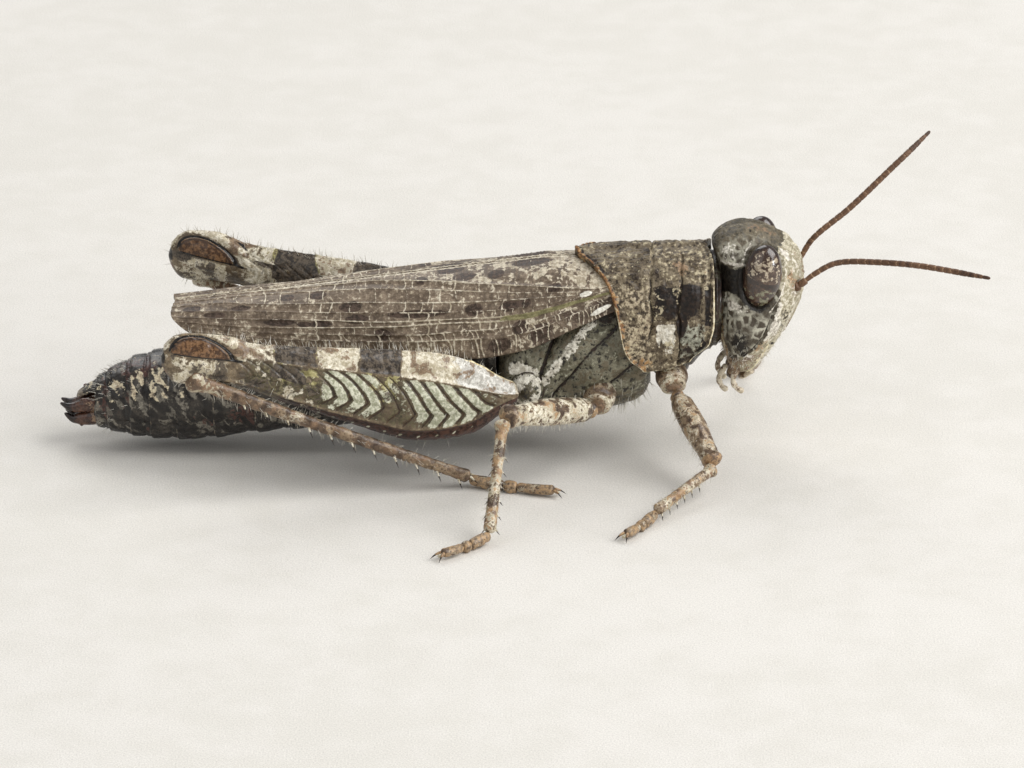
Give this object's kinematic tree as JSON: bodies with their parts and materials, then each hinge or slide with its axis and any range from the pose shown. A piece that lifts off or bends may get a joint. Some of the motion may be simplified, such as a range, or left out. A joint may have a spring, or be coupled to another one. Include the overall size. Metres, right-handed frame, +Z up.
{
  "type": "grasshopper",
  "caption": "Still, life-size grasshopper standing on its feet, wings folded like a roof and hind legs drawn up beside them.",
  "frame": {"origin": "on the floor under the middle of the box", "axes": "+X from tail to head, +Y to the animal's left, +Z up"},
  "size_m": [0.0286, 0.017, 0.0096],
  "materials": {
    "head_shell": "grey-brown mottled shell, satin",
    "thorax_shell": "grey-brown granular shell, satin",
    "abdomen_shell": "dark glossy rings with pale hind edges",
    "wing_cover": "leathery grey-brown with pale veins and dark spots",
    "hind_wing": "folded membrane, smoky cream",
    "eye": "glossy brown with cream marks",
    "antenna": "red-brown with pale rings",
    "mouthparts": "cream and brown, satin",
    "leg_shell": "cream with brown mottling, satin",
    "hind_leg_shell": "cream with dark bars and slanting furrows, satin",
    "horn": "dark red-brown, glossy"
  },
  "bodies": {
    "root": {"head": "head_shell", "labrum": "mouthparts", "eye_left": "eye", "antenna_left": "antenna", "mandible_left": "mouthparts", "palp_maxillary_left": "mouthparts", "palp_labial_left": "mouthparts", "eye_right": "eye", "antenna_right": "antenna", "mandible_right": "mouthparts", "palp_maxillary_right": "mouthparts", "palp_labial_right": "mouthparts", "pronotum": "thorax_shell", "prothorax": "thorax_shell", "thorax": "thorax_shell", "abdomen": "abdomen_shell", "tail_plate": "abdomen_shell", "valve_upper_left": "horn", "valve_lower_left": "horn", "cercus_left": "horn", "tegmen_left": "wing_cover", "hind_wing_left": "hind_wing", "coxa_fore_left": "leg_shell", "femur_fore_left": "leg_shell", "tibia_fore_left": "leg_shell", "tarsus_fore_left": "leg_shell", "coxa_mid_left": "leg_shell", "femur_mid_left": "leg_shell", "tibia_mid_left": "leg_shell", "tarsus_mid_left": "leg_shell", "coxa_hind_left": "leg_shell", "femur_hind_left": "hind_leg_shell", "tibia_hind_left": "hind_leg_shell", "tarsus_hind_left": "hind_leg_shell", "valve_upper_right": "horn", "valve_lower_right": "horn", "cercus_right": "horn", "tegmen_right": "wing_cover", "hind_wing_right": "hind_wing", "coxa_fore_right": "leg_shell", "femur_fore_right": "leg_shell", "tibia_fore_right": "leg_shell", "tarsus_fore_right": "leg_shell", "coxa_mid_right": "leg_shell", "femur_mid_right": "leg_shell", "tibia_mid_right": "leg_shell", "tarsus_mid_right": "leg_shell", "coxa_hind_right": "leg_shell", "femur_hind_right": "hind_leg_shell", "tibia_hind_right": "hind_leg_shell", "tarsus_hind_right": "hind_leg_shell"}
  },
  "joints": []
}
